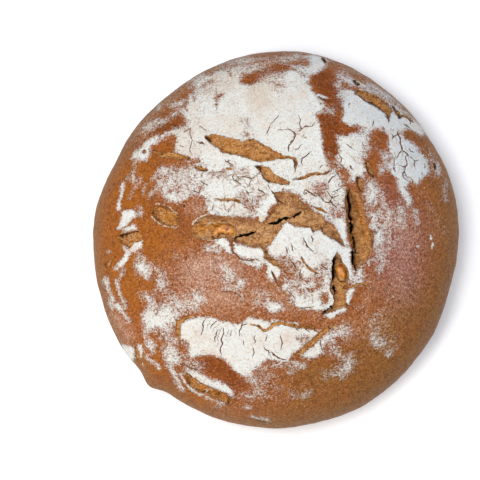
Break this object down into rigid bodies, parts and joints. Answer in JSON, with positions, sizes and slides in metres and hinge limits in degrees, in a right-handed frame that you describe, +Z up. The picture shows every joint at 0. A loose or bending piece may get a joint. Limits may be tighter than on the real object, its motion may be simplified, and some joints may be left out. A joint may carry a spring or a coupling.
{
  "type": "rye bread loaf",
  "caption": "Round hearth-baked rye bread loaf: a low flour-dusted dome with a torn crust, nut kernels baked into the tears, and a flat underside.",
  "frame": {"origin": "middle of the flat underside, at the centre of the loaf's bounding box seen from above", "axes": "+Z up through the crown; +X towards the side with the deep right-hand tear, +Y towards the edge beyond the floured crown"},
  "size_m": [0.219, 0.2274, 0.085],
  "materials": {
    "crust": "matte",
    "kernel": "satin"
  },
  "bodies": {
    "root": {"loaf": "crust", "kernel_left": "kernel", "kernel_right": "kernel"}
  },
  "joints": []
}
